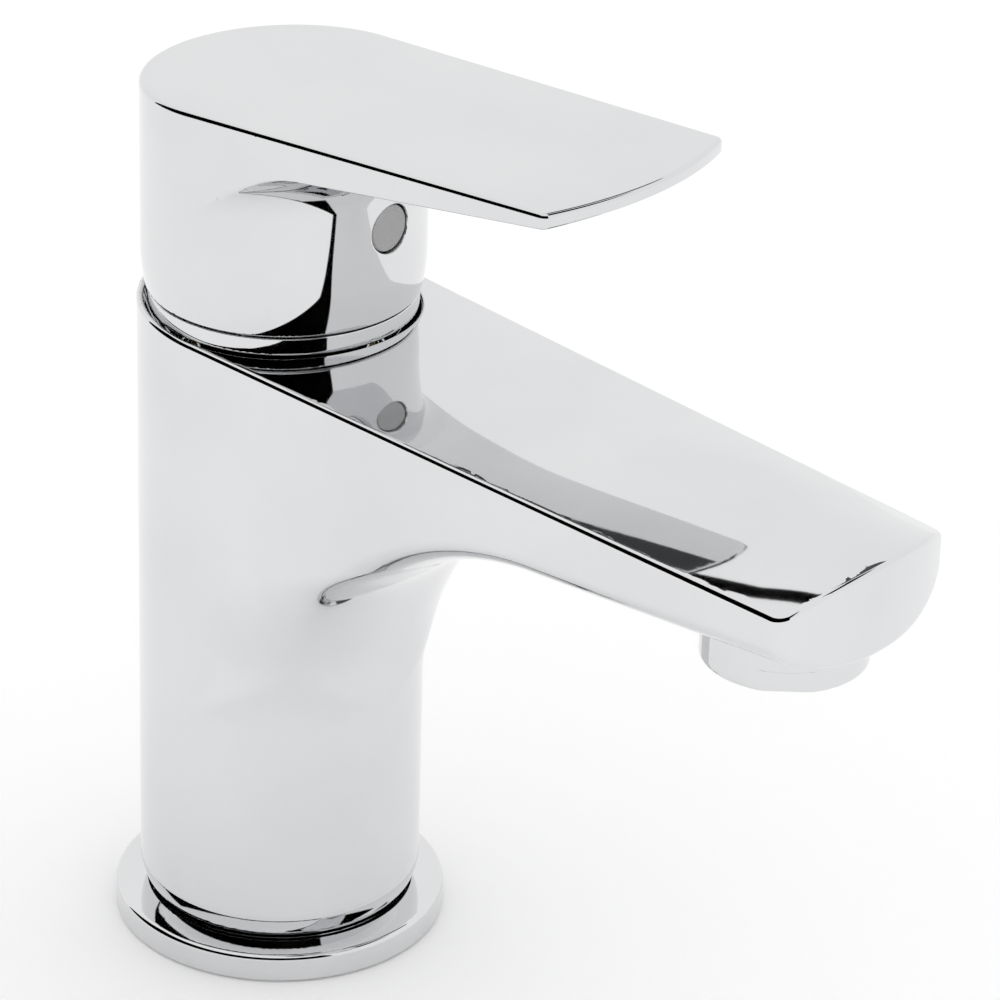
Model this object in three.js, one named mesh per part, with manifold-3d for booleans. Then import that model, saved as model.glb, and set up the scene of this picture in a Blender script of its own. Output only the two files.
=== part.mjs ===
// Single-lever basin mixer: chrome-plated casting with a long flat spout, a plate lever on a
// round skirt, a 25 mm class ceramic cartridge and an M24 aerator. Millimetres, +Z up.
// Origin: centre of the base, on the deck. The spout points along -Y.

import * as THREE from 'three';
import { mergeVertices } from 'three/addons/utils/BufferGeometryUtils.js';
import Module from 'manifold-3d';

const wasm = await Module();
wasm.setup();

// ---- driving dimensions -------------------------------------------------------------------
const GAP = 0.3;                 // clearance between neighbouring solids
const BODY_R = 23;               // column radius
const SPIGOT_R = 21.4;           // turned-down foot of the column inside the base ring
const TAPER_LOW = 5.2;           // height where the foot starts to widen
const TAPER_HIGH = 8.4;          // height where it has reached the column radius
const BASE_R = 27;               // base ring
const BASE_TOP = 4.9;
const GASKET_R = 25.3;
const GASKET_T = 1.2;

const TOP_Z = 109.2;             // top surface at the column axis, along its side edges
const TOP_SLOPE = 0.0682;        // rise towards +Y
const CROWN = 1.6;               // how far the middle of the top stands above its edges, near the lever
const CROWN_FRONT = 4.6;         // and at the front of the spout
const CROWN_FROM = -62;          // where the crown starts to grow
const CROWN_EASE = 8;
const SPOUT_Y = -114.3;          // front corners of the spout
const SPOUT_HALF = 19.5;         // half width at the front corners
const SPOUT_NOSE = 4.5;          // how far the curved front face bulges past the corners
const SPOUT_DEPTH = 11.3;        // depth of the front below its corners
const UNDER_ROUND_X = 18.2;      // elliptical rounding of the spout's lower edges
const UNDER_ROUND_Z = 6.7;
const SPOUT_DROP = 3.4;          // how much lower the underside is at the column axis
const SPOUT_CORNER = 1.6;        // plan radius of the two front corners
const SWEEP_R = 45.5;             // radius of the sweep from the column into the spout
const SPOUT_FLOOR = 40;          // the spout's solid starts above this height
const ABOVE_ALL = 130;

const PIVOT_Z = 117.2;           // axis on which the lever lifts
const BOWL_R = 23.2;             // spherical seat in the top of the column, about the pivot
const BOWL_FLOOR = 100.6;
const CHAMBER_R = 12.8;          // cartridge chamber
const SEAT_Z = 90.3;             // floor of the cartridge chamber
const NUT_BORE_R = 15;
const NUT_SEAT_Z = 95.2;
const WATERWAY_Z = 95.3;
const WATERWAY_R = 3.6;
const TAIL_X = 8;                // inlet tail sockets in the underside
const TAIL_Y = 3;
const TAIL_R = 4.9;
const TAIL_DEPTH = 12;
const STUD_Y = -11;              // fixing stud socket
const STUD_R = 3.9;
const PORTS = [[-3.9, 2.6], [3.9, 2.6], [0, -4.6]];    // hot, cold, mixed outlet
const PORT_R = 1.7;

const AERATOR_Y = -101;
const AERATOR_R = 12.65;
const AERATOR_LOW = 83.8;
const AERATOR_POCKET = 91.3;
const AERATOR_BORE_R = 11;
const AERATOR_BORE_TOP = 95.5;

const LEVER_R = 22.4;            // skirt of the lever
const LEVER_TOP = 147.1;         // top face at the axis
const LEVER_SLOPE = -0.0508;     // the top face rises towards -Y
const LEVER_CORNER_Y = -69.4;
const LEVER_HALF = 20.4;         // half width of the lever at its front corners
const LEVER_NOSE = 4.1;          // how far the curved front edge bulges past the corners
const PLATE_ROOT = 142;          // underside of the plate where it leaves the skirt
const PLATE_TIP = 148.2;         // and at the front corners
const LEVER_FILLET = 9;
const SKIRT_LOW = 112.2;
const SKIRT_ROUND_Z = 119;       // below this height the skirt curves inwards
const SKIRT_LOW_R = 21.6;
const SKIRT_IN_R = 19.4;
const RING_R = 21.35;            // trim ring under the skirt
const RING_LOW = 109;
const BOSS_R = 7;
const BOSS_LOW = 124;
const PLUG_Z = 127.7;
const STEM_HALF = 3;             // square control stem

// ---- materials ----------------------------------------------------------------------------
const finish = (color, roughness, metalness) => () =>
  new THREE.MeshStandardMaterial({ color, roughness, metalness });
const chrome = finish(0xdcdde0, 0.06, 1);
const brass = finish(0xb99a52, 0.35, 1);
const steel = finish(0x9c9ea2, 0.3, 1);
const rubber = finish(0x17181a, 0.85, 0);
const ceramic = finish(0xf1efe9, 0.25, 0);
const whitePlastic = finish(0xe6e4dd, 0.45, 0);
const greyPlastic = finish(0xa9a9a7, 0.55, 0);
const bluePlastic = finish(0x3f5f8f, 0.5, 0);

// ---- solids -------------------------------------------------------------------------------
const group = new THREE.Group();

function solid(geometry) {
  const bare = geometry.index ? geometry.toNonIndexed() : geometry.clone();
  bare.deleteAttribute('normal');
  bare.deleteAttribute('uv');
  const merged = mergeVertices(bare, 1e-4);
  return new wasm.Manifold(new wasm.Mesh({
    numProp: 3,
    vertProperties: new Float32Array(merged.attributes.position.array),
    triVerts: new Uint32Array(merged.index.array),
  }));
}

function place(name, shape, material, parent = group) {
  const cut = shape.getMesh();
  const geometry = new THREE.BufferGeometry();
  geometry.setAttribute('position', new THREE.BufferAttribute(cut.vertProperties, 3));
  geometry.setIndex(new THREE.BufferAttribute(cut.triVerts, 1));
  geometry.computeVertexNormals();
  const mesh = new THREE.Mesh(geometry, material());
  mesh.name = name;
  parent.add(mesh);
  return mesh;
}

const points = (pairs) => pairs.map(([x, y]) => new THREE.Vector2(x, y));

// A turned solid about +Z from [radius, height] pairs.
function turned(profile, segments = 36) {
  const lathe = new THREE.LatheGeometry(points(profile), segments);
  lathe.rotateX(Math.PI / 2);
  return solid(lathe);
}

function rod(radius, low, high, x = 0, y = 0, segments = 24) {
  return turned([[0, low], [radius, low], [radius, high], [0, high]], segments).translate([x, y, 0]);
}

function tube(inner, outer, low, high, segments = 32) {
  return turned([[inner, low], [outer, low], [outer, high], [inner, high], [inner, low]], segments);
}

function block(x0, x1, y0, y1, z0, z1) {
  const box = new THREE.BoxGeometry(x1 - x0, y1 - y0, z1 - z0);
  box.translate((x0 + x1) / 2, (y0 + y1) / 2, (z0 + z1) / 2);
  return solid(box);
}

// A round bar between two points.
function bar(radius, from, to, segments = 18) {
  const start = new THREE.Vector3(...from);
  const end = new THREE.Vector3(...to);
  const along = end.clone().sub(start);
  const cylinder = new THREE.CylinderGeometry(radius, radius, along.length(), segments);
  const turn = new THREE.Quaternion().setFromUnitVectors(
    new THREE.Vector3(0, 1, 0), along.clone().normalize());
  cylinder.applyQuaternion(turn);
  cylinder.translate(...start.add(end).multiplyScalar(0.5).toArray());
  return solid(cylinder);
}

function ringOfRound(major, minor, z, x = 0, y = 0) {
  const torus = new THREE.TorusGeometry(major, minor, 8, 32);
  torus.translate(x, y, z);
  return solid(torus);
}

// [radius, height] pairs on an arc about a centre, angles in degrees from the radial direction.
function arc(centreR, centreZ, radius, from, to, steps) {
  const pairs = [];
  for (let i = 0; i <= steps; i += 1) {
    const angle = THREE.MathUtils.degToRad(from + (to - from) * i / steps);
    pairs.push([centreR + radius * Math.cos(angle), centreZ + radius * Math.sin(angle)]);
  }
  return pairs;
}

// An upright prism with a half-round back, straight sides that close in towards the front,
// and a front edge that bulges by nose.
function taperedPrism(backR, frontHalf, frontY, nose, corner, low, high) {
  const shape = new THREE.Shape();
  shape.moveTo(backR, 0);
  for (let i = 1; i <= 30; i += 1) {
    const angle = i * Math.PI / 30;
    shape.lineTo(backR * Math.cos(angle), backR * Math.sin(angle));
  }
  shape.lineTo(-frontHalf, frontY + corner);
  shape.quadraticCurveTo(-frontHalf, frontY, -frontHalf + corner, frontY - nose * 0.1);
  shape.quadraticCurveTo(0, frontY - nose * 2, frontHalf - corner, frontY - nose * 0.1);
  shape.quadraticCurveTo(frontHalf, frontY, frontHalf, frontY + corner);
  const prism = new THREE.ExtrudeGeometry(shape, {
    depth: high - low, steps: 1, bevelEnabled: false, curveSegments: 10,
  });
  prism.translate(0, 0, low);
  return solid(prism);
}

const smooth = (from, to, value) => {
  const t = THREE.MathUtils.clamp((value - from) / (to - from), 0, 1);
  return t * t * (3 - 2 * t);
};

// ---- body casting -------------------------------------------------------------------------
const halfWidth = (y) => BODY_R + (SPOUT_HALF - BODY_R) * Math.max(0, y / SPOUT_Y);

function crownAt(y) {
  const past = (at) => (Math.hypot(CROWN_FROM - at, CROWN_EASE) + CROWN_FROM - at) / 2;
  const behind = BODY_R / 2;
  return CROWN * smooth(behind, -behind, y)
    + (CROWN_FRONT - CROWN) * past(y) / past(SPOUT_Y);
}

function topSurface(x, y) {
  const across = 1 - Math.min(1, (x / halfWidth(y)) ** 2);
  return TOP_Z + TOP_SLOPE * y + crownAt(y) * across;
}

// Everything below the crowned top.
function belowTop() {
  const margin = 2;
  const width = 2 * (BODY_R + margin);
  const back = BODY_R + margin;
  const front = SPOUT_Y - SPOUT_NOSE - margin;
  const slab = new THREE.BoxGeometry(width, back - front, 2 * ABOVE_ALL, 12, 14, 1);
  slab.translate(0, (back + front) / 2, 0);
  const position = slab.attributes.position;
  for (let i = 0; i < position.count; i += 1) {
    if (position.getZ(i) > 0) {
      position.setZ(i, topSurface(position.getX(i), position.getY(i)));
    }
  }
  return solid(slab);
}

// Lowest line of the spout, which sweeps down into the front of the column.
function undersideAt(y) {
  const straight = TOP_Z + TOP_SLOPE * SPOUT_Y - SPOUT_DEPTH - SPOUT_DROP * (1 - y / SPOUT_Y);
  const inSweep = Math.max(0, (y + BODY_R + SWEEP_R) / SWEEP_R);
  return straight - SWEEP_R * (1 - Math.sqrt(Math.max(0, 1 - inSweep ** 2)));
}

// The spout bar: flat sides, rounded lower corners, lofted along its length.
function spoutBar() {
  const flat = SPOUT_HALF - UNDER_ROUND_X;
  const section = new THREE.Shape();
  section.moveTo(SPOUT_HALF, ABOVE_ALL);
  section.lineTo(-SPOUT_HALF, ABOVE_ALL);
  section.absellipse(-flat, UNDER_ROUND_Z, UNDER_ROUND_X, UNDER_ROUND_Z,
    Math.PI, 1.5 * Math.PI, false);
  section.absellipse(flat, UNDER_ROUND_Z, UNDER_ROUND_X, UNDER_ROUND_Z,
    1.5 * Math.PI, 2 * Math.PI, false);
  const steps = 11;
  const loft = new THREE.ExtrudeGeometry(section, {
    depth: steps, steps, bevelEnabled: false, curveSegments: 7,
  });
  loft.rotateX(Math.PI / 2);
  const stations = [SPOUT_Y - SPOUT_NOSE - 1];
  for (let i = 0; i < steps - 1; i += 1) {
    stations.push(-BODY_R - SWEEP_R * (1 - Math.sin(i / (steps - 2) * Math.PI / 2)));
  }
  stations.push(0);
  const trimmedOff = 0.05;
  const position = loft.attributes.position;
  for (let i = 0; i < position.count; i += 1) {
    const y = stations[Math.round(steps + position.getY(i))];
    const half = halfWidth(y) + trimmedOff;
    position.setXYZ(i, position.getX(i) * half / SPOUT_HALF, y,
      position.getZ(i) + undersideAt(y));
  }
  return solid(loft);
}

// The sweep from the column into the spout, before the bar's sides trim it.
function sweep() {
  const top = undersideAt(-BODY_R - SWEEP_R);
  const beyond = 200;
  return turned([
    [0, top - SWEEP_R], ...arc(BODY_R + SWEEP_R, top - SWEEP_R, SWEEP_R, 180, 90, 9),
    [beyond, top + 0.2], [beyond, ABOVE_ALL], [0, ABOVE_ALL],
  ], 60);
}

function column() {
  return turned([
    [0, GASKET_T + GAP], [SPIGOT_R, GASKET_T + GAP], [SPIGOT_R, TAPER_LOW],
    [BODY_R, TAPER_HIGH], [BODY_R, ABOVE_ALL], [0, ABOVE_ALL],
  ], 60);
}

function bowl() {
  const low = THREE.MathUtils.radToDeg(Math.asin((BOWL_FLOOR - PIVOT_Z) / BOWL_R));
  return turned([[0, BOWL_FLOOR], ...arc(0, PIVOT_Z, BOWL_R, low, 0, 8), [0, PIVOT_Z]], 48);
}

function waterways() {
  const chamber = rod(CHAMBER_R, SEAT_Z, NUT_SEAT_Z + 0.1, 0, 0, 48);
  const nutBore = rod(NUT_BORE_R, NUT_SEAT_Z, BOWL_FLOOR + 0.1, 0, 0, 48);
  const [hot, cold, outlet] = PORTS;
  const cuts = [chamber, nutBore, bowl()];
  for (const [port, side] of [[hot, -1], [cold, 1]]) {
    cuts.push(rod(TAIL_R, -1, TAIL_DEPTH + GASKET_T + GAP, side * TAIL_X, TAIL_Y));
    cuts.push(rod(3.2, 10, 78, side * TAIL_X, TAIL_Y, 20));
    cuts.push(bar(PORT_R + 0.2, [side * TAIL_X, TAIL_Y, 76], [...port, SEAT_Z + 1], 16));
  }
  cuts.push(rod(STUD_R, -1, TAIL_DEPTH + 3, 0, STUD_Y));
  cuts.push(rod(PORT_R + 0.2, 84, SEAT_Z + 1, ...outlet, 16));
  cuts.push(bar(2.4, [0, outlet[1] + 2, 84.4], [0, -19.5, 84.4], 20));
  cuts.push(rod(2.4, 83, WATERWAY_Z, 0, -18, 20));
  cuts.push(bar(WATERWAY_R, [0, -17, WATERWAY_Z], [0, AERATOR_Y - 3, WATERWAY_Z]));
  cuts.push(rod(AERATOR_R + 0.45, 70, AERATOR_POCKET, 0, AERATOR_Y, 36));
  cuts.push(rod(AERATOR_BORE_R, 70, AERATOR_BORE_TOP, 0, AERATOR_Y, 36));
  return cuts;
}

function bodyCasting() {
  const plan = taperedPrism(BODY_R, SPOUT_HALF, SPOUT_Y, SPOUT_NOSE, SPOUT_CORNER, 0, ABOVE_ALL);
  const inFront = block(-BODY_R, BODY_R, SPOUT_Y - SPOUT_NOSE, 0, SPOUT_FLOOR, ABOVE_ALL);
  const spout = spoutBar().intersect(sweep()).intersect(inFront);
  let shape = column().add(spout).intersect(plan).intersect(belowTop());
  for (const cut of waterways()) {
    shape = shape.subtract(cut);
  }
  const groove = tube(SPIGOT_R - 1.5, SPIGOT_R + 1, 2.3, 4.3, 48);
  return shape.subtract(groove);
}

place('body_casting', bodyCasting(), chrome);

// ---- base ---------------------------------------------------------------------------------
function baseGasket() {
  let disc = rod(GASKET_R, 0, GASKET_T, 0, 0, 48);
  for (const side of [-1, 1]) {
    disc = disc.subtract(rod(TAIL_R + 1, -1, 3, side * TAIL_X, TAIL_Y));
  }
  return disc.subtract(rod(STUD_R + 1, -1, 3, 0, STUD_Y));
}

function baseRing() {
  const inner = SPIGOT_R + 0.4;
  const under = GASKET_T + GAP;
  return turned([
    [inner, under], [GASKET_R + GAP, under], [GASKET_R + GAP, 0.4], [BASE_R - 0.3, 0.4],
    [BASE_R, 0.7], ...arc(BASE_R - 0.8, BASE_TOP - 0.8, 0.8, 0, 90, 3),
    [inner, BASE_TOP], [inner, under],
  ], 60);
}

place('base_gasket', baseGasket(), rubber);
place('base_ring', baseRing(), chrome);
place('base_o_ring', ringOfRound(SPIGOT_R - 0.55, 0.62, 3.3), rubber);

// ---- cartridge ----------------------------------------------------------------------------
const CART_R = 12.3;
const NECK_R = 9.8;
const NECK_IN_R = 8.5;
const NECK_TOP = 119.9;
const BASE_LOW = 90.6;
const DISC_LOW = 102;
const DISC_T = 3;

function withPorts(shape, radius, low, high) {
  let cut = shape;
  for (const [x, y] of PORTS) {
    cut = cut.subtract(rod(radius, low, high, x, y, 20));
  }
  return cut;
}

function cartridgeBase() {
  const plug = turned([
    [0, BASE_LOW], [CART_R, BASE_LOW], [CART_R, 93.4], [NECK_IN_R - GAP, 93.4],
    [NECK_IN_R - GAP, DISC_LOW - GAP], [0, DISC_LOW - GAP],
  ]);
  return withPorts(withPorts(plug, PORT_R, 80, 110), 3.3, 80, BASE_LOW + 1.7);
}

const seal = ([x, y]) => tube(2, 3, SEAT_Z + GAP, BASE_LOW + 1.4, 24).translate([x, y, 0]);

function cartridgeHousing() {
  return turned([
    [NECK_IN_R, 93.7], [CART_R, 93.7], [CART_R, NUT_SEAT_Z], [NECK_R, NUT_SEAT_Z],
    [NECK_R, NECK_TOP], [7.2, NECK_TOP], [7.2, NECK_TOP - 0.7], [NECK_IN_R, NECK_TOP - 0.7],
    [NECK_IN_R, 93.7],
  ]);
}

function cartridgeNut() {
  const low = NUT_SEAT_Z + GAP;
  const high = BOWL_FLOOR - 0.1;
  let nut = tube(NECK_R + GAP, NUT_BORE_R - GAP, low, high);
  for (let i = 0; i < 6; i += 1) {
    nut = nut.subtract(block(-1.6, 1.6, 12.4, 16, high - 2.2, high + 1).rotate([0, 0, i * 60]));
  }
  return nut;
}

// Rounded sleeve over the neck, seen when the lever is up.
function cartridgeShroud() {
  const low = BOWL_FLOOR + 0.2;
  const inner = NECK_R + GAP;
  return turned([
    [inner, low], [13.8, low], [13.8, 106], ...arc(2.2, 106, 11.6, 8, 45, 4),
    [inner, 116], [inner, low],
  ]);
}

place('cartridge_base', cartridgeBase(), whitePlastic);
place('hot_inlet_seal', seal(PORTS[0]), rubber);
place('cold_inlet_seal', seal(PORTS[1]), rubber);
place('outlet_seal', seal(PORTS[2]), rubber);
place('cartridge_housing', cartridgeHousing(), whitePlastic);
place('fixed_ceramic_disc',
  withPorts(rod(NECK_IN_R - GAP, DISC_LOW, DISC_LOW + DISC_T, 0, 0, 40), PORT_R, 80, 120), ceramic);
place('cartridge_nut', cartridgeNut(), brass);
place('cartridge_shroud', cartridgeShroud(), chrome);

// The sliding disc mixes through a blind pocket in its underside. The slider above it is
// pushed by the ball end of the stem.
const SLIDE_R = 5.1;
const MOVING_LOW = DISC_LOW + DISC_T + GAP;
const SLIDER_LOW = MOVING_LOW + 2.7 + GAP;
const SLIDER_TOP = 111.6;
const BALL_Z = 110.6;
const BALL_R = 2.1;

const movingDisc = rod(SLIDE_R, MOVING_LOW, SLIDER_LOW - GAP, 0, 0, 32)
  .subtract(rod(3.4, MOVING_LOW - 1, MOVING_LOW + 1.2, 0, -0.6, 24));
place('moving_ceramic_disc', movingDisc, ceramic);
place('disc_slider', tube(BALL_R + 0.35, SLIDE_R, SLIDER_LOW, SLIDER_TOP, 32), bluePlastic);

// ---- stem and its carrier -----------------------------------------------------------------
const PIN_R = 1.1;
const CARRIER_LOW = 112.4;
const CARRIER_TOP = NECK_TOP - 1;

function stemCarrier() {
  return rod(NECK_IN_R - GAP, CARRIER_LOW, CARRIER_TOP, 0, 0, 40)
    .subtract(block(-STEM_HALF - GAP, STEM_HALF + GAP, -6, 5, 110, 125))
    .subtract(bar(PIN_R + GAP, [-12, 0, PIVOT_Z], [12, 0, PIVOT_Z], 20));
}

function controlStem() {
  const shank = block(-STEM_HALF, STEM_HALF, -STEM_HALF, STEM_HALF, 113.6, 136);
  const neck = rod(1.5, BALL_Z, 114, 0, 0, 20);
  const ball = solid(new THREE.SphereGeometry(BALL_R, 16, 8)).translate([0, 0, BALL_Z]);
  return shank.add(neck).add(ball)
    .subtract(bar(PIN_R + GAP, [-12, 0, PIVOT_Z], [12, 0, PIVOT_Z], 20));
}

place('stem_carrier', stemCarrier(), bluePlastic);
place('stem_pin', bar(PIN_R, [-7.6, 0, PIVOT_Z], [7.6, 0, PIVOT_Z], 20), steel);
place('control_stem', controlStem(), brass);

// ---- aerator ------------------------------------------------------------------------------
const LIP_TOP = AERATOR_LOW + 1.2;
const INSERT_R = 9.1;
const HOUSING_TOP = 94;
const INSERT_TOP = 93.4;
const FLATS_HALF = 11.9;
const FLATS_TOP = 87.2;
const FLAT_TURN = -50;           // the spanner flats face this way, degrees from -Y

function aeratorHousing() {
  const thread = AERATOR_BORE_R - GAP;
  const shell = turned([
    [8, AERATOR_LOW], [AERATOR_R - 0.5, AERATOR_LOW], [AERATOR_R, AERATOR_LOW + 0.5],
    [AERATOR_R, AERATOR_POCKET - GAP], [thread, AERATOR_POCKET - GAP],
    [thread, HOUSING_TOP], [INSERT_R + GAP, HOUSING_TOP], [INSERT_R + GAP, LIP_TOP],
    [8, LIP_TOP], [8, AERATOR_LOW],
  ], 40);
  const flat = block(-20, 20, FLATS_HALF, 20, 70, FLATS_TOP);
  const flats = flat.add(flat.rotate([0, 0, 180]));
  return shell.subtract(flats.rotate([0, 0, FLAT_TURN]));
}

function aeratorScreen() {
  let disc = rod(INSERT_R, LIP_TOP + GAP, LIP_TOP + 1.1, 0, 0, 40);
  const pitch = 3.1;
  for (let row = -2; row <= 2; row += 1) {
    for (let cell = -2; cell <= 2; cell += 1) {
      const x = (cell + row / 2) * pitch;
      const y = row * pitch * Math.sin(Math.PI / 3);
      if (Math.hypot(x, y) < 7) {
        disc = disc.subtract(rod(1.1, 80, 90, x, y, 6));
      }
    }
  }
  return disc;
}

function aeratorInsert() {
  let insert = rod(INSERT_R, LIP_TOP + 1.4, INSERT_TOP, 0, 0, 40)
    .subtract(rod(6.8, LIP_TOP, INSERT_TOP - 3, 0, 0, 32));
  for (let i = 0; i < 8; i += 1) {
    const angle = i * Math.PI / 4;
    insert = insert.subtract(rod(1, 80, 100, 5 * Math.cos(angle), 5 * Math.sin(angle), 12));
  }
  return insert;
}

const aerator = new THREE.Group();
aerator.position.set(0, AERATOR_Y, 0);
group.add(aerator);
place('aerator_housing', aeratorHousing(), chrome, aerator);
place('aerator_screen', aeratorScreen(), greyPlastic, aerator);
place('aerator_insert', aeratorInsert(), whitePlastic, aerator);
const washer = tube(6, AERATOR_BORE_R - GAP, HOUSING_TOP + GAP, AERATOR_BORE_TOP - 0.1);
place('aerator_washer', washer, rubber, aerator);

// ---- lever --------------------------------------------------------------------------------
const leverTopAt = (y) => LEVER_TOP + LEVER_SLOPE * y;

// A slab between two sloping planes, given by their heights at y = 0 and their slopes.
function wedge(lowAt, highAt) {
  const slab = new THREE.BoxGeometry(80, 160, 2);
  const position = slab.attributes.position;
  for (let i = 0; i < position.count; i += 1) {
    const y = position.getY(i);
    position.setZ(i, position.getZ(i) > 0 ? highAt(y) : lowAt(y));
  }
  return solid(slab);
}

function skirt() {
  const fall = LEVER_R - SKIRT_LOW_R;
  const height = SKIRT_ROUND_Z - SKIRT_LOW;
  const round = (height * height + fall * fall) / (2 * fall);
  const turn = THREE.MathUtils.radToDeg(Math.asin(height / round));
  const flareZ = PLATE_ROOT + 1;
  return turned([
    [0, SKIRT_LOW], ...arc(LEVER_R - round, SKIRT_ROUND_Z, round, -turn, 0, 3),
    ...arc(LEVER_R + LEVER_FILLET, flareZ - LEVER_FILLET, LEVER_FILLET, 180, 90, 5),
    [LEVER_R + LEVER_FILLET, 160], [0, 160],
  ], 56);
}

function leverPlate() {
  const rise = (PLATE_TIP - PLATE_ROOT) / (LEVER_CORNER_Y + LEVER_R);
  const under = (y) => PLATE_ROOT + rise * (y + LEVER_R);
  return wedge(under, () => 160);
}

function leverHollow() {
  const room = rod(SKIRT_IN_R, 100, 141, 0, 0, 48);
  const boss = rod(BOSS_R, BOSS_LOW, 145, 0, 0, 40);
  const rib = block(-5, 5, -21, 0, BOSS_LOW, 145);
  return room.subtract(boss).subtract(rib);
}

function leverBody() {
  const plan = taperedPrism(LEVER_R, LEVER_HALF, LEVER_CORNER_Y, LEVER_NOSE, 0.8, 105, 165);
  const belowLeverTop = wedge(() => 0, leverTopAt);
  const socket = STEM_HALF + 1.2;
  return skirt().add(leverPlate()).intersect(plan).intersect(belowLeverTop)
    .subtract(leverHollow())
    .subtract(block(-socket, socket, -socket, socket, 120, 137))
    .subtract(bar(4, [0, -30, PLUG_Z], [0, -16.5, PLUG_Z], 32))
    .subtract(bar(2.7, [0, -20, PLUG_Z], [0, 0, PLUG_Z], 24));
}

function stemBushing() {
  const outer = STEM_HALF + 0.9;
  const inner = STEM_HALF + GAP;
  return block(-outer, outer, -outer, outer, BOSS_LOW + 0.4, 136.7)
    .subtract(block(-inner, inner, -inner, inner, 120, 136.3))
    .subtract(bar(2.7, [0, -20, PLUG_Z], [0, 0, PLUG_Z], 24));
}

function grubScrew() {
  const socket = new THREE.CylinderGeometry(1.35, 1.35, 3, 6);
  socket.translate(0, -10.4, PLUG_Z);
  return bar(2.4, [0, -3.3, PLUG_Z], [0, -11, PLUG_Z], 24).subtract(solid(socket));
}

function leverPlug() {
  const body = bar(3.7, [0, -16.8, PLUG_Z], [0, -20.9, PLUG_Z], 32);
  const hollow = bar(2.6, [0, -16, PLUG_Z], [0, -19.4, PLUG_Z], 24);
  return body.subtract(hollow);
}

function trimRing() {
  const inner = SKIRT_IN_R + 0.2;
  return turned([
    [inner, RING_LOW], [RING_R - 0.3, RING_LOW], [RING_R, RING_LOW + 0.3],
    [RING_R, SKIRT_LOW - GAP], [inner, SKIRT_LOW - GAP], [inner, RING_LOW],
  ], 56);
}

place('handle_lever', leverBody(), chrome);
place('handle_bushing', stemBushing(), whitePlastic);
place('handle_grub_screw', grubScrew(), steel);
place('handle_plug', leverPlug(), greyPlastic);
place('handle_trim_ring', trimRing(), chrome);

export default group;
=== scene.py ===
import math

import bpy
import numpy as np
from mathutils import Matrix, Vector


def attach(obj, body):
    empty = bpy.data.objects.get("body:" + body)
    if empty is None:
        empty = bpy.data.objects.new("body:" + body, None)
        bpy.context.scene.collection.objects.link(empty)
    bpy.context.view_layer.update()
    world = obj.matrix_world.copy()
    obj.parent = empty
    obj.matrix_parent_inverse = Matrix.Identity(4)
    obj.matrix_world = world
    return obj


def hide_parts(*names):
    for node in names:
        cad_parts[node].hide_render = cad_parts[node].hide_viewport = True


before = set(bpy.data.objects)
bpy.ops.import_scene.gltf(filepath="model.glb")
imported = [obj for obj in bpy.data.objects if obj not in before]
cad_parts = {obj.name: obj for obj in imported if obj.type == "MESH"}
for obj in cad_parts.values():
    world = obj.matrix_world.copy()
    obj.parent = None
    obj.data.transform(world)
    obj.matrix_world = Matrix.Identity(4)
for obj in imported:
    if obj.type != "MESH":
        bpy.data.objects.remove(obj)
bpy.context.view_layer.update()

# ---- viewpoint -------------------------------------------------------------------------------
# A long lens at the left front of the mixer, looking a little down on it.
scene = bpy.context.scene
scene.view_settings.view_transform = "Standard"
camera = bpy.data.objects.new("camera", bpy.data.cameras.new("camera"))
scene.collection.objects.link(camera)
scene.camera = camera
camera.data.lens = 179.56
camera.data.clip_start = 0.05
across = Vector((0.65542837, -0.75483057, 0.0253864))
upward = Vector((0.32471072, 0.3119794, 0.89287838))
backward = Vector((-0.68189193, -0.57697458, 0.44958172))
facing = Matrix((across, upward, backward)).transposed().to_4x4()
camera.matrix_world = Matrix.Translation((-0.519992, -0.485466, 0.432467)) @ facing


# ---- studio ----------------------------------------------------------------------------------
# A seamless white sweep, an even white dome of light, and dark cards out of sight that only
# polished metal mirrors, which is how a photographer draws the edges of chrome.
class Value:
    """The output of a shader node, with arithmetic that adds Math nodes."""

    def __init__(self, finish, socket):
        self.finish = finish
        self.socket = socket

    def math(self, operation, first, second):
        return self.finish.node("Math", {"operation": operation}, {0: first, 1: second})

    def __add__(self, other):
        return self.math("ADD", self, other)

    def __mul__(self, other):
        return self.math("MULTIPLY", self, other)

    __radd__ = __add__
    __rmul__ = __mul__


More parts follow.
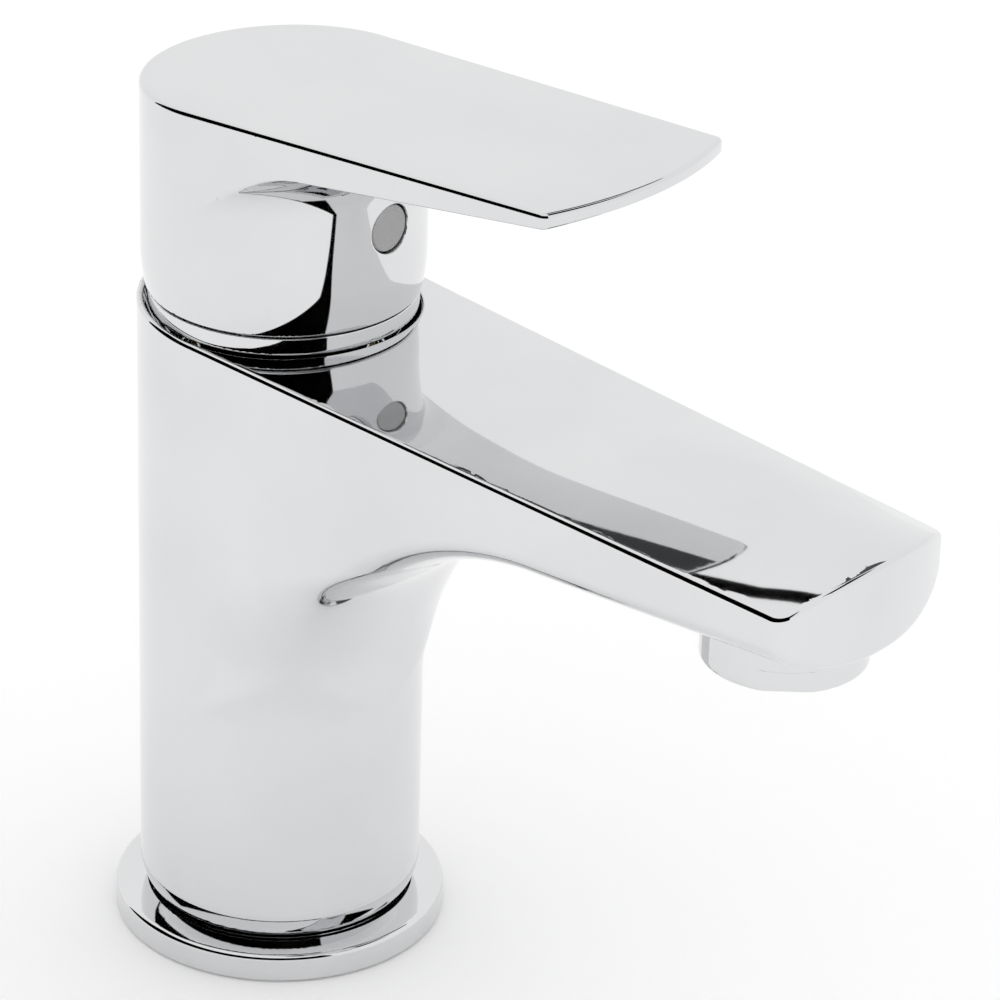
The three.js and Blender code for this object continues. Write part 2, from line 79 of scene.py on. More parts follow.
class Finish:
    """A material built from shader nodes around one Principled surface."""

    def __init__(self, name):
        self.material = bpy.data.materials.new(name)
        self.material.use_nodes = True
        self.tree = self.material.node_tree
        self.tree.nodes.clear()
        self.place = self.node("TexCoord", {}, {}, "Object")

    def node(self, kind, settings, inputs, output=0):
        made = self.tree.nodes.new("ShaderNode" + kind)
        for key, value in settings.items():
            if key == "stops":
                self.ramp(made.color_ramp, value)
            else:
                setattr(made, key, value)
        for key, value in inputs.items():
            if isinstance(value, Value):
                self.tree.links.new(value.socket, made.inputs[key])
            else:
                made.inputs[key].default_value = value
        return Value(self, made.outputs[output]) if made.outputs else None

    def ramp(self, ramp, stops):
        for i, (position, colour) in enumerate(stops):
            if i < 2:
                stop = ramp.elements[i]
            else:
                stop = ramp.elements.new(position)
            stop.position = position
            stop.color = (*colour, 1)

    def noise(self, scale, detail=3.0, stretch=(1, 1, 1)):
        """Soft random patches; scale is in patches per metre."""
        spread = self.node("Mapping", {}, {"Vector": self.place, "Scale": stretch})
        return self.node("TexNoise", {}, {"Vector": spread, "Scale": scale, "Detail": detail}, 0)

    def colour(self, amount, low, high):
        return self.node("ValToRGB", {"stops": ((0.3, low), (0.7, high))}, {"Fac": amount})

    def surface(self, **inputs):
        bsdf = self.node("BsdfPrincipled", {}, {
            key.replace("_", " "): value for key, value in inputs.items()})
        self.node("OutputMaterial", {}, {"Surface": bsdf})
        return self.material

    def bump(self, height, distance, strength=1.0):
        return self.node("Bump", {}, {"Height": height, "Distance": distance,
                                      "Strength": strength})


world = bpy.data.worlds.new("studio")
scene.world = world
world.use_nodes = True
world.node_tree.nodes["Background"].inputs["Color"].default_value = (1, 1, 1, 1)
world.node_tree.nodes["Background"].inputs["Strength"].default_value = 1.0

floor_paint = Finish("white_sweep")
floor_tone = floor_paint.colour(floor_paint.noise(3.0), (0.97, 0.97, 0.97), (0.985, 0.985, 0.985))
floor_paint.surface(Base_Color=floor_tone, Roughness=0.9, Specular_IOR_Level=0.0,
                    Emission_Color=(1, 1, 1, 1), Emission_Strength=0.06)
rim = [(5 * math.cos(a * math.pi / 24), 5 * math.sin(a * math.pi / 24), 0) for a in range(48)]
floor_mesh = bpy.data.meshes.new("floor")
floor_mesh.from_pydata(rim, [], [range(len(rim))])
floor_mesh.materials.append(floor_paint.material)
floor = bpy.data.objects.new("floor", floor_mesh)
scene.collection.objects.link(floor)


CARD_CENTRE = Vector((0, -0.03, 0.09))
CARD_DISTANCE = 1.2


def card(name, azimuths, elevations, brightness=0.0):
    """A curved card round the mixer. Azimuth 0 is in front of the spout, 90 on its left."""
    steps = 12
    corners = []
    for turn in np.radians(np.linspace(*azimuths, steps + 1)):
        for lift in np.radians(np.linspace(*elevations, steps + 1)):
            towards = Vector((-math.sin(turn) * math.cos(lift),
                              -math.cos(turn) * math.cos(lift), math.sin(lift)))
            corners.append(CARD_CENTRE + towards * CARD_DISTANCE)
    row = steps + 1
    faces = [(i * row + j, i * row + j + 1, (i + 1) * row + j + 1, (i + 1) * row + j)
             for i in range(steps) for j in range(steps)]
    mesh = bpy.data.meshes.new(name)
    mesh.from_pydata(corners, [], faces)
    paper = Finish(name)
    shade = paper.colour(paper.noise(8.0), (brightness * 0.98,) * 3, (brightness,) * 3)
    glow = paper.node("Emission", {}, {"Color": shade, "Strength": 1.0})
    paper.node("OutputMaterial", {}, {"Surface": glow})
    mesh.materials.append(paper.material)
    panel = bpy.data.objects.new(name, mesh)
    scene.collection.objects.link(panel)
    panel.visible_camera = False
    panel.visible_diffuse = False
    panel.visible_shadow = False
    panel.visible_transmission = False


card("black_card_left", (13, 165), (-2, 46))
card("black_card_back", (195, 228), (62, 65.5))
card("black_card_right", (-65, -10), (48, 66))
card("grey_card_right", (-116, -84), (44, 68), 0.1)


# ---- body ------------------------------------------------------------------------------------
# One brass casting, column and spout together, polished and chrome plated. The column's foot is
# turned down for the base ring, and its top is bored for the cartridge and dished for the lever.
BODY_R = 23.0
SPIGOT_R = 21.4
FOOT_Z = 1.5
TAPER_LOW = 5.2
TAPER_HEIGHT = 3.2
TAPER_OUT = BODY_R - SPIGOT_R
TOP_Z = 109.2
TOP_SLOPE = 0.0682
TOP_EDGE = 0.8
CROWN = 1.6
CROWN_FRONT = 4.6
CROWN_FROM = -62.0
CROWN_EASE = 8.0
LIP_Y = -108.0
LIP_ROLL = 0.6
SPOUT_Y = -114.3
SPOUT_NOSE = 4.5
SPOUT_HALF = 19.5
SPOUT_CORNER = 1.6
SPOUT_DEPTH = 11.3
SPOUT_RISE = 3.4 / 114.3
SPOUT_FLOOR = 40.0
UNDER_X = 18.2
UNDER_Z = 6.7
SWEEP_R = 45.5
PIVOT_Z = 117.2
BOWL_R = 23.2
BOWL_FLOOR = 100.6
BOWL_EDGE = 0.75
CHAMBER_R = 12.8
SEAT_Z = 90.3
NUT_BORE_R = 15.0
NUT_SEAT_Z = 95.2
TAIL_X = 8.0
TAIL_Y = 3.0
TAIL_R = 4.9
TAIL_TOP = 13.5
STUD_Y = -11.0
STUD_R = 3.9
STUD_TOP = 16.5
GROOVE_DEPTH = 1.5
GROOVE_LOW = 2.3
GROOVE_HIGH = 4.3
AERATOR_Y = -101.0
AERATOR_POCKET_R = 13.1
AERATOR_POCKET_TOP = 91.3
AERATOR_BORE_R = 11.0
AERATOR_BORE_TOP = 95.5
CUT_EDGE = 0.22


def round_max(a, b, radius):
    """Material common to two shapes, with the edge between them rounded."""
    return np.minimum(np.maximum(a, b), -radius) + np.hypot(
        np.maximum(a + radius, 0), np.maximum(b + radius, 0))


def round_min(a, b, radius):
    """Two shapes joined, with a fillet between them."""
    return -round_max(-a, -b, radius)


def blend_max(a, b, width):
    """Material common to two shapes that run into each other almost parallel."""
    overlap = np.maximum(width - np.abs(a - b), 0)
    return np.maximum(a, b) + overlap ** 2 / (4 * width)


def ease(start, end, value):
    t = np.clip((value - start) / (end - start), 0, 1)
    return t * t * t * (t * (6 * t - 15) + 10)


def closing_plan(x, y, radius, front_y, front_half):
    """Plan outline: half round at the back, straight sides that close in towards the front."""
    lean = (radius - front_half) / -front_y
    lean = math.atan2(radius - front_half * math.cos(lean), -front_y)
    straight = np.abs(x) * math.cos(lean) - y * math.sin(lean) - radius
    return np.where(y > -math.tan(lean) * np.abs(x), np.hypot(x, y) - radius, straight)


def bulging_front(x, y, corner_y, half, nose):
    """A front face between two corners, with its middle further forward by nose."""
    bulge = nose * (1 - (x / half) ** 2)
    return (corner_y - bulge - y) / np.hypot(1, 2 * nose * x / half ** 2)


def crown_past(y):
    return (np.hypot(CROWN_FROM - y, CROWN_EASE) + CROWN_FROM - y) / 2


def body_top(x, y):
    """The top is crowned across the spout, least beside the lever and most at the front."""
    half = BODY_R + (SPOUT_HALF - BODY_R) * np.maximum(0, y / SPOUT_Y)
    crown = CROWN * ease(14, -14, y) + (CROWN_FRONT - CROWN) * crown_past(y) / crown_past(SPOUT_Y)
    roll = LIP_ROLL * np.clip((LIP_Y - y) / 10, 0, 1.2) ** 2
    return TOP_Z + TOP_SLOPE * y + (crown - roll) * (1 - np.minimum(1.2, (x / half) ** 2))


def column_shape(reach, z):
    """The column, with a foot that tapers out to it."""
    taper = (reach - SPIGOT_R) * TAPER_HEIGHT - (z - TAPER_LOW) * TAPER_OUT
    taper = taper / math.hypot(TAPER_HEIGHT, TAPER_OUT)
    return np.minimum(reach - SPIGOT_R, round_max(reach - BODY_R, taper, 0.8))


def spout_shape(x, y, z):
    """A bar with elliptical lower edges, which sweeps down into the front of the column."""
    side = closing_plan(x, y, BODY_R, SPOUT_Y, SPOUT_HALF)
    start = BODY_R + SWEEP_R
    rise = SPOUT_RISE * (np.hypot(-y - start, 6) - y - start) / 2
    crest = TOP_Z + TOP_SLOPE * SPOUT_Y - SPOUT_DEPTH - SPOUT_RISE * (-SPOUT_Y - start)
    above = np.maximum(z - rise - crest + SWEEP_R, 0)
    under = SWEEP_R - np.hypot(np.maximum(start + y, 0), above)
    sweep = SWEEP_R - np.hypot(np.maximum(start - np.hypot(x, y), 0), above)
    wide = np.maximum(side + UNDER_X, 0) / UNDER_X
    deep = np.maximum(under + UNDER_Z, 0) / UNDER_Z
    length = np.hypot(wide, deep)
    steep = np.hypot(wide / UNDER_X, deep / UNDER_Z)
    bar = (length - 1) * np.where(length > 1e-6, length / np.maximum(steep, 1e-9), UNDER_Z)
    fade = ease(0, 16, above)
    softness = 0.05 + fade * (1.2 + 5 * (1 - ease(26, 42, above)))
    return np.maximum(blend_max(bar, sweep - 0.6 * fade, softness), SPOUT_FLOOR - z)


def body_bores(x, y, z):
    """Cartridge chamber, inlet tails, fixing stud, aerator pocket and O-ring groove."""
    reach = np.hypot(x, y)
    aerator = np.hypot(x, y - AERATOR_Y)
    return np.minimum.reduce((
        np.maximum(reach - NUT_BORE_R, np.maximum(NUT_SEAT_Z - z, z - BOWL_FLOOR - 0.4)),
        np.maximum(reach - CHAMBER_R, np.maximum(SEAT_Z - z, z - NUT_SEAT_Z - 0.8)),
        np.maximum(np.hypot(np.abs(x) - TAIL_X, y - TAIL_Y) - TAIL_R, z - TAIL_TOP),
        np.maximum(np.hypot(x, y - STUD_Y) - STUD_R, z - STUD_TOP),
        np.maximum(aerator - AERATOR_POCKET_R, z - AERATOR_POCKET_TOP),
        np.maximum(aerator - AERATOR_BORE_R, z - AERATOR_BORE_TOP),
        np.maximum(SPIGOT_R - GROOVE_DEPTH - reach, np.maximum(GROOVE_LOW - z, z - GROOVE_HIGH)),
    ))


def body_shape(x, y, z):
    reach = np.hypot(x, y)
    front = bulging_front(x, y, SPOUT_Y, SPOUT_HALF, SPOUT_NOSE)
    shape = np.minimum(column_shape(reach, z), spout_shape(x, y, z))
    shape = round_max(shape, front, SPOUT_CORNER)
    shape = round_max(shape, z - body_top(x, y), TOP_EDGE)
    shape = round_max(shape, FOOT_Z - z, 0.3)
    bowl = np.maximum(np.hypot(reach, z - PIVOT_Z) - BOWL_R, BOWL_FLOOR - z)
    shape = round_max(shape, -bowl, BOWL_EDGE)
    return round_max(shape, -body_bores(x, y, z), CUT_EDGE)


def surface_net(shape, low, high, cell):
    """Points and quads of the surface where the shape's distance is zero, on a cubic grid."""
    low = np.array(low, float) - 1.5 * cell
    count = np.ceil((np.array(high) + 1.5 * cell - low) / cell).astype(int) + 1
    axes = [low[i] + cell * np.arange(count[i]) for i in range(3)]
    value = shape(*np.meshgrid(*axes, indexing="ij"))
    cells = tuple(count - 1)
    total = np.zeros((np.prod(cells), 3))
    hits = np.zeros(np.prod(cells))
    quads = []
    for axis in range(3):
        near = np.take(value, range(count[axis] - 1), axis)
        far = np.take(value, range(1, count[axis]), axis)
        crossing = (near < 0) != (far < 0)
        index = np.argwhere(crossing)
        near, far = near[crossing], far[crossing]
        point = index.astype(float)
        point[:, axis] += near / (near - far)
        u, v = (axis + 1) % 3, (axis + 2) % 3
        corners = []
        for du, dv in ((0, 0), (-1, 0), (-1, -1), (0, -1)):
            cell_index = index.copy()
            cell_index[:, u] += du
            cell_index[:, v] += dv
            flat = np.ravel_multi_index(cell_index.T, cells)
            corners.append(flat)
            hits += np.bincount(flat, minlength=len(hits))
            for i in range(3):
                total[:, i] += np.bincount(flat, point[:, i], len(hits))
        quad = np.stack(corners, 1)
        quads.append(np.where((near < 0)[:, None], quad, quad[:, ::-1]))
    used = np.flatnonzero(hits)
    number = np.zeros(len(hits), int)
    number[used] = np.arange(len(used))
    points = low + cell * total[used] / hits[used][:, None]
    return points, number[np.concatenate(quads)]


def slope_at(shape, points):
    step = 0.004
    parts = []
    for axis in range(3):
        offset = np.zeros(3)
        offset[axis] = step
        ahead, behind = (points + offset).T, (points - offset).T
        parts.append((shape(*ahead) - shape(*behind)) / (2 * step))
    return np.stack(parts, 1)


def settle(shape, points, reach):
    """Moves points onto the surface along its slope."""
    for _ in range(5):
        slope = slope_at(shape, points)
        step = shape(*points.T) / np.maximum((slope ** 2).sum(1), 0.05)
        step = np.clip(step, -reach, reach)
        points = points - slope * step[:, None]
    return points


def refined(shape, points, triangles, turn, shortest):
    """Splits triangles wherever the surface turns quickly, so that rounded edges stay round."""
    for _ in range(5):
        normals = slope_at(shape, points)
        normals /= np.linalg.norm(normals, axis=1)[:, None] + 1e-12
        sides = np.sort(np.stack([triangles, np.roll(triangles, -1, 1)], 2), 2)
        codes = sides[..., 0] * len(points) + sides[..., 1]
        edges, where = np.unique(codes, return_inverse=True)
        where = where.reshape(codes.shape)
        a, b = edges // len(points), edges % len(points)
        length = np.linalg.norm(points[a] - points[b], axis=1)
        bend = (normals[a] * normals[b]).sum(1)
        split = (bend < math.cos(math.radians(turn))) & (length > shortest)
        if not split.any():
            break
        middle = np.full(len(edges), -1)
        middle[split] = len(points) + np.arange(split.sum())
        added = settle(shape, (points[a] + points[b])[split] / 2, 0.3)
        points = np.concatenate([points, added])
        mids = middle[where]
        made = [triangles[(mids < 0).all(1)]]
        for first in range(3):
            t = np.roll(triangles, -first, 1)
            m = np.roll(mids, -first, 1)
            has = m >= 0
            one = has[:, 0] & ~has[:, 1] & ~has[:, 2]
            p, q, r, k = *t[one].T, m[one, 0]
            made += [np.stack([p, k, r], 1), np.stack([k, q, r], 1)]
            two = has[:, 0] & has[:, 1] & ~has[:, 2]
            p, q, r, k, n = *t[two].T, m[two, 0], m[two, 1]
            made += [np.stack([k, q, n], 1), np.stack([p, k, n], 1), np.stack([p, n, r], 1)]
        full = (mids >= 0).all(1)
        p, q, r = triangles[full].T
        k, n, o = mids[full].T
        made += [np.stack(s, 1) for s in ((p, k, o), (k, q, n), (o, n, r), (k, n, o))]
        triangles = np.concatenate(made)
    return points, triangles


def carved(name, shape, low, high, cell, turn=14, shortest=0.22):
    """A closed piece from a shape in millimetres, placed in the frame in metres."""
    points, quads = surface_net(shape, low, high, cell)
    points = settle(shape, points, cell / 2)
    triangles = np.concatenate([quads[:, [0, 1, 2]], quads[:, [0, 2, 3]]])
    points, triangles = refined(shape, points, triangles, turn, shortest)
    normals = slope_at(shape, points)
    normals /= np.linalg.norm(normals, axis=1)[:, None] + 1e-12
    mesh = bpy.data.meshes.new(name)
    mesh.vertices.add(len(points))
    mesh.vertices.foreach_set("co", (points * 0.001).astype(np.float32).ravel())
    mesh.loops.add(triangles.size)
    mesh.loops.foreach_set("vertex_index", triangles.astype(np.int32).ravel())
    mesh.polygons.add(len(triangles))
    mesh.polygons.foreach_set("loop_start", np.arange(0, triangles.size, 3, dtype=np.int32))
    mesh.update()
    mesh.validate()
    mesh.polygons.foreach_set("use_smooth", np.ones(len(mesh.polygons), bool))
    mesh.normals_split_custom_set_from_vertices(normals.tolist())
    piece = bpy.data.objects.new(name, mesh)
    scene.collection.objects.link(piece)
    return piece


def fitted(piece, material, body, slot, *nodes):
    """Gives a piece its finish and its body, and hides the CAD nodes that it stands for."""
    piece.data.materials.clear()
    piece.data.materials.append(material)
    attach(piece, body)
    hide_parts(*nodes)


def chrome(name, low, high, gloss, lay=(1, 1, 1)):
    """Bright nickel and chromium plate: a faint cloudiness and the trace of the buffing wheel."""
    plate = Finish(name)
    cloud = plate.noise(38.0, 4.0)
    buffing = plate.noise(520.0, 2.0, lay)
    tint = plate.colour(cloud, low, high)
    rough = gloss + 0.012 * cloud + 0.01 * buffing
    skin = plate.bump(cloud * 0.6 + buffing * 0.02, 0.00001)
    return plate.surface(Base_Color=tint, Metallic=1.0, Roughness=rough, Normal=skin)


body_chrome = chrome("body_chrome", (0.70, 0.705, 0.715), (0.74, 0.745, 0.752), 0.03)
body = carved("body_shell", body_shape, (-BODY_R, -119, FOOT_Z), (BODY_R, BODY_R, 113), 0.8)
fitted(body, body_chrome, "root", "chrome_plate", "body_casting")

# ---- base ring and gasket --------------------------------------------------------------------
# A turned brass collar, chromed like the body, sits over the foot and hides the soft gasket
# that seals the mixer to the basin. An O-ring in the foot holds the collar up.
BASE_R = 27.0
BASE_LOW = 0.4
BASE_TOP = 4.9
BASE_BORE_R = 21.8
GASKET_ROOM_R = 25.6


def base_shape(x, y, z):
    reach = np.hypot(x, y)
    wall = round_max(reach - BASE_R, z - BASE_TOP, 0.85)
    wall = round_max(wall, BASE_LOW - z, 0.25)
    bore = np.minimum(reach - BASE_BORE_R, np.maximum(reach - GASKET_ROOM_R, z - FOOT_Z))
    return round_max(wall, -bore, 0.2)


def rubber(name, tone):
    """Moulded rubber, matt, with a fine tooth and a little bloom."""
    skin = Finish(name)
    bloom = skin.noise(120.0, 4.0)
    tooth = skin.noise(2600.0, 2.0)
    tint = skin.colour(bloom, (tone,) * 3, (tone * 1.6,) * 3)
    return skin.surface(Base_Color=tint, Roughness=0.7 + 0.15 * tooth,
                        Normal=skin.bump(tooth, 0.00004))


def refinish(node, material):
    """A CAD node whose shape is right keeps it, and takes a real finish."""
    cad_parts[node].data.materials.clear()
    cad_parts[node].data.materials.append(material)


base_ring = carved("base_collar", base_shape, (-BASE_R, -BASE_R, BASE_LOW),
                   (BASE_R, BASE_R, BASE_TOP), 0.6)
ring_chrome = chrome("ring_chrome", (0.70, 0.705, 0.715), (0.74, 0.745, 0.752), 0.035, (1, 1, 8))
fitted(base_ring, ring_chrome, "root", "chrome_plate", "base_ring")
gasket_rubber = rubber("gasket_rubber", 0.012)
refinish("base_gasket", gasket_rubber)
refinish("base_o_ring", rubber("o_ring_rubber", 0.01))

# ---- aerator ---------------------------------------------------------------------------------
# A turned brass M24 aerator, chromed, with two spanner flats. Inside are a honeycomb nozzle, a
# jet regulator in white acetal and a flat washer.
AERATOR_R = 12.65
AERATOR_LOW = 83.8
AERATOR_TOP = 91.0
THREAD_R = 10.7
THREAD_TOP = 94.0
FLATS_HALF = 11.9
FLATS_TOP = 87.2
FLAT_TURN = math.radians(-50)
LIP_R = 8.0
LIP_TOP = 85.0
INSERT_ROOM_R = 9.4
NOZZLE_R = 9.1
NOZZLE_LOW = 85.3
NOZZLE_TOP = 86.1
NOZZLE_RIM_R = 7.6
CELL_PITCH = 2.1
CELL_R = 0.78


def aerator_shape(x, y, z):
    y = y - AERATOR_Y
    reach = np.hypot(x, y)
    wall = round_max(round_max(reach - AERATOR_R, AERATOR_LOW - z, 0.6), z - AERATOR_TOP, 0.3)
    thread = np.maximum(reach - THREAD_R, np.maximum(z - THREAD_TOP, 88 - z))
    flats = np.abs(y * math.cos(FLAT_TURN) - x * math.sin(FLAT_TURN)) - FLATS_HALF
    wall = round_max(wall, np.minimum(flats, FLATS_TOP - z), 0.3)
    bore = np.minimum(reach - LIP_R, np.maximum(reach - INSERT_ROOM_R, LIP_TOP - z))
    return round_max(np.minimum(wall, thread), -bore, 0.25)


def honeycomb_shape(x, y, z):
    y = y - AERATOR_Y
    reach = np.hypot(x, y)
    disc = np.maximum(reach - NOZZLE_R, np.maximum(NOZZLE_LOW - z, z - NOZZLE_TOP))
    row = CELL_PITCH * math.sqrt(3)
    holes = []
    for shift in (0.0, 0.5):
        u = (x / CELL_PITCH + shift + 0.5) % 1 - 0.5
        v = (y / row + shift + 0.5) % 1 - 0.5
        holes.append(np.hypot(u * CELL_PITCH, v * row) - CELL_R)
    open_part = np.maximum(np.minimum(*holes), reach - NOZZLE_RIM_R)
    return round_max(disc, -open_part, 0.1)


def plastic(name, low, high, rough):
    """Injection moulded plastic with a fine satin texture from the tool."""
    shell = Finish(name)
    flow = shell.noise(90.0, 3.0)
    texture = shell.noise(2200.0, 2.0)
    return shell.surface(Base_Color=shell.colour(flow, low, high),
                         Roughness=rough + 0.12 * texture, Normal=shell.bump(texture, 0.00003))


aerator = carved("aerator_shell", aerator_shape, (-12.7, AERATOR_Y - 12.7, AERATOR_LOW),
                 (12.7, AERATOR_Y + 12.7, THREAD_TOP), 0.5)
fitted(aerator, chrome("aerator_chrome", (0.69, 0.695, 0.705), (0.74, 0.745, 0.75), 0.04),
       "root", "chrome_plate", "aerator_housing")
honeycomb = carved("aerator_honeycomb", honeycomb_shape,
                   (-NOZZLE_R, AERATOR_Y - NOZZLE_R, NOZZLE_LOW),
                   (NOZZLE_R, AERATOR_Y + NOZZLE_R, NOZZLE_TOP), 0.25, 30, 0.2)
fitted(honeycomb, plastic("nozzle_grey", (0.30, 0.30, 0.30), (0.36, 0.36, 0.35), 0.4), "root",
       "grey_plastic", "aerator_screen")
refinish("aerator_insert", plastic("jet_white", (0.74, 0.73, 0.69), (0.80, 0.79, 0.75), 0.35))
refinish("aerator_washer", gasket_rubber)

# ---- cartridge -------------------------------------------------------------------------------
# A 25 mm class ceramic cartridge, held down by a brass ring nut. A chromed sleeve covers its
# neck and shows when the lever is up.
SLEEVE_R = 13.8
SLEEVE_ROUND = 11.6
SLEEVE_ROUND_Z = 106.0
SLEEVE_LOW = 100.8
SLEEVE_TOP = 115.9
SLEEVE_BORE_R = 10.1


def sleeve_shape(x, y, z):
    reach = np.hypot(x, y)
    past = np.maximum(reach - SLEEVE_R + SLEEVE_ROUND, 0)
    dome = np.hypot(past, np.maximum(z - SLEEVE_ROUND_Z, 0)) - SLEEVE_ROUND
    wall = round_max(dome, z - SLEEVE_TOP, 0.4)
    wall = round_max(wall, SLEEVE_LOW - z, 0.2)
    return round_max(wall, SLEEVE_BORE_R - reach, 0.2)


def worked_metal(name, low, high, rough, lay):
    """Turned or drawn metal, left as machined, with fine tool marks across its lay."""
    stock = Finish(name)
    marks = stock.noise(900.0, 2.0, lay)
    patina = stock.noise(70.0, 4.0)
    return stock.surface(Base_Color=stock.colour(patina, low, high), Metallic=1.0,
                         Roughness=rough + 0.14 * marks, Normal=stock.bump(marks, 0.00003))


def ceramic(name):
    """Lapped alumina: off-white, very smooth, with a slight speckle of grain."""
    alumina = Finish(name)
    speckle = alumina.noise(1500.0, 5.0)
    tint = alumina.colour(speckle, (0.80, 0.78, 0.73), (0.86, 0.84, 0.80))
    return alumina.surface(Base_Color=tint, Roughness=0.16 + 0.08 * speckle)


sleeve = carved("cartridge_sleeve", sleeve_shape, (-SLEEVE_R, -SLEEVE_R, SLEEVE_LOW),
                (SLEEVE_R, SLEEVE_R, 116), 0.5)
fitted(sleeve, chrome("sleeve_chrome", (0.66, 0.67, 0.68), (0.72, 0.725, 0.73), 0.06),
       "root", "chrome_plate", "cartridge_shroud")
housing_white = plastic("housing_white", (0.72, 0.71, 0.67), (0.79, 0.78, 0.74), 0.38)
refinish("cartridge_base", housing_white)
refinish("cartridge_housing", housing_white)
seal_rubber = rubber("seal_rubber", 0.014)
for seal in ("hot_inlet_seal", "cold_inlet_seal", "outlet_seal"):
    refinish(seal, seal_rubber)
disc_ceramic = ceramic("disc_ceramic")
refinish("fixed_ceramic_disc", disc_ceramic)
refinish("moving_ceramic_disc", disc_ceramic)
nut_brass = worked_metal("nut_brass", (0.50, 0.34, 0.12), (0.62, 0.44, 0.18), 0.24, (1, 1, 9))
refinish("cartridge_nut", nut_brass)
refinish("disc_slider", plastic("slider_blue", (0.04, 0.10, 0.26), (0.06, 0.13, 0.31), 0.35))

# ---- stem ------------------------------------------------------------------------------------
# The stem rocks on a pin in a carrier that turns inside the cartridge, and its ball end pushes
# the ceramic disc.
refinish("stem_carrier", plastic("carrier_blue", (0.04, 0.09, 0.24), (0.06, 0.12, 0.29), 0.38))
refinish("stem_pin", worked_metal("pin_steel", (0.42, 0.42, 0.43), (0.52, 0.52, 0.53), 0.2,
                                  (8, 1, 1)))
refinish("control_stem", worked_metal("stem_brass", (0.50, 0.35, 0.13), (0.60, 0.43, 0.18), 0.22,
                                      (1, 1, 7)))

# ---- lever -----------------------------------------------------------------------------------
# A zinc casting, chrome plated: a round skirt over the cartridge that flares into a flat plate.
# A plastic bushing and a grub screw clamp its boss to the square stem.
LEVER_R = 22.4
LEVER_TOP = 147.1
LEVER_SLOPE = -0.0508
LEVER_CORNER_Y = -69.4
LEVER_HALF = 20.4
LEVER_NOSE = 4.1
PLATE_ROOT = 142.0
PLATE_TIP = 148.2
LEVER_FILLET = 9.0
PLATE_LOW = 128.0
SKIRT_LOW = 112.2
SKIRT_ROUND_Z = 119.0
SKIRT_ROUND = 29.3
SKIRT_IN_R = 19.4
ROOM_TOP = 141.0
BOSS_R = 7.0
BOSS_LOW = 124.0
RIB_HALF = 5.0
STEM_SOCKET_HALF = 4.2
STEM_SOCKET_TOP = 137.0
PLUG_Z = 127.7
PLUG_HOLE_R = 4.0
PLUG_SEAT_Y = -16.5
SCREW_HOLE_R = 2.7


def lever_shape(x, y, z):
    reach = np.hypot(x, y)
    climb = (PLATE_TIP - PLATE_ROOT) / (LEVER_CORNER_Y + LEVER_R)
    under = (PLATE_ROOT + climb * (y + LEVER_R) - z) / math.hypot(1, climb)
    skirt = round_min(reach - LEVER_R, under, LEVER_FILLET)
    drop = np.minimum(z - SKIRT_ROUND_Z, 0)
    foot = np.hypot(reach - LEVER_R + SKIRT_ROUND, drop) - SKIRT_ROUND
    skirt = np.maximum(skirt, np.where(z < SKIRT_ROUND_Z, foot, -50))
    side = closing_plan(x, y, LEVER_R, LEVER_CORNER_Y, LEVER_HALF)
    front = bulging_front(x, y, LEVER_CORNER_Y, LEVER_HALF, LEVER_NOSE)
    plan = round_max(side, front, 0.9)
    plate = np.where(reach > LEVER_R + 0.8, round_max(skirt, plan, 0.35), np.maximum(skirt, plan))
    shape = np.where(z > PLATE_LOW, plate, skirt)
    top = (z - LEVER_TOP - LEVER_SLOPE * y) / math.hypot(1, LEVER_SLOPE)
    shape = round_max(shape, top, TOP_EDGE)
    shape = round_max(shape, SKIRT_LOW - z, 0.35)
    return round_max(shape, -lever_hollow(x, y, z), 0.25)


def lever_hollow(x, y, z):
    """The room round the boss, the stem's square socket, and the holes for screw and plug."""
    reach = np.hypot(x, y)
    rib = np.maximum(np.abs(x) - RIB_HALF, np.abs(y + 10.5) - 10.5)
    boss = np.maximum(np.minimum(reach - BOSS_R, rib), BOSS_LOW - z)
    room = np.maximum(np.maximum(reach - SKIRT_IN_R, z - ROOM_TOP), -boss)
    socket = np.maximum(np.maximum(np.abs(x), np.abs(y)) - STEM_SOCKET_HALF, z - STEM_SOCKET_TOP)
    bore = np.hypot(x, z - PLUG_Z)
    plug_hole = np.maximum(bore - PLUG_HOLE_R, y - PLUG_SEAT_Y)
    screw_hole = np.maximum(bore - SCREW_HOLE_R, np.abs(y + 10) - 10)
    return np.minimum(np.minimum(room, socket), np.minimum(plug_hole, screw_hole))


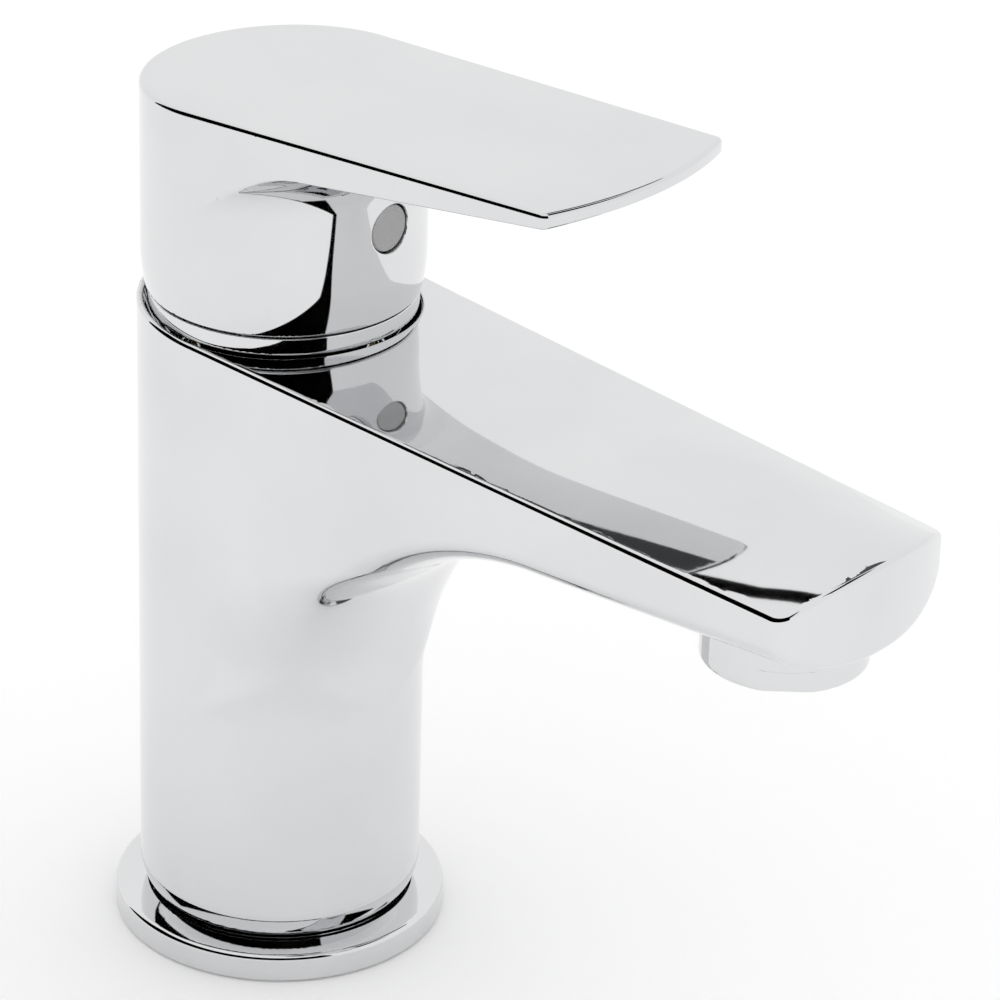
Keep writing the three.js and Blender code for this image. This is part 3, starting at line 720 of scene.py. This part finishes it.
lever = carved("lever_shell", lever_shape, (-LEVER_R, -74, SKIRT_LOW), (LEVER_R, LEVER_R, 151), 0.7)
lever_chrome = chrome("lever_chrome", (0.69, 0.695, 0.705), (0.73, 0.735, 0.742), 0.03)
fitted(lever, lever_chrome, "handle", "chrome_plate", "handle_lever")
refinish("handle_bushing", plastic("bushing_white", (0.73, 0.72, 0.68), (0.79, 0.78, 0.74), 0.4))
refinish("handle_grub_screw", worked_metal("screw_steel", (0.30, 0.30, 0.31),
                                           (0.40, 0.40, 0.41), 0.28, (1, 8, 1)))

# ---- trim ring -------------------------------------------------------------------------------
# A thin turned ring, chromed, pressed into the foot of the skirt. It turns and tilts with the
# lever and closes the gap to the dished seat in the body.
TRIM_R = 21.35
TRIM_BORE_R = 19.6
TRIM_LOW = 109.0
TRIM_TOP = 111.9


def trim_shape(x, y, z):
    reach = np.hypot(x, y)
    wall = round_max(reach - TRIM_R, TRIM_LOW - z, 0.3)
    wall = round_max(wall, z - TRIM_TOP, 0.15)
    return round_max(wall, TRIM_BORE_R - reach, 0.2)


trim = carved("lever_trim_ring", trim_shape, (-21.4, -21.4, TRIM_LOW), (21.4, 21.4, TRIM_TOP), 0.5)
fitted(trim, ring_chrome, "handle", "chrome_plate", "handle_trim_ring")

# ---- plug ------------------------------------------------------------------------------------
# A satin grey plastic button, hollow behind, pushed into the front of the skirt to hide the
# grub screw.
PLUG_R = 3.8
PLUG_FACE_Y = -21.9
PLUG_BACK_Y = -16.8
PLUG_HOLLOW_R = 2.6
PLUG_FLOOR_Y = -19.4


def plug_shape(x, y, z):
    reach = np.hypot(x, z - PLUG_Z)
    button = round_max(round_max(reach - PLUG_R, PLUG_FACE_Y - y, 0.35), y - PLUG_BACK_Y, 0.2)
    hollow = np.maximum(reach - PLUG_HOLLOW_R, PLUG_FLOOR_Y - y)
    return round_max(button, -hollow, 0.15)


plug = carved("lever_plug", plug_shape, (-PLUG_R, PLUG_FACE_Y, PLUG_Z - PLUG_R),
              (PLUG_R, PLUG_BACK_Y, PLUG_Z + PLUG_R), 0.25, 16, 0.12)
fitted(plug, plastic("plug_grey", (0.40, 0.40, 0.40), (0.46, 0.46, 0.46), 0.28), "handle",
       "grey_plastic", "handle_plug")
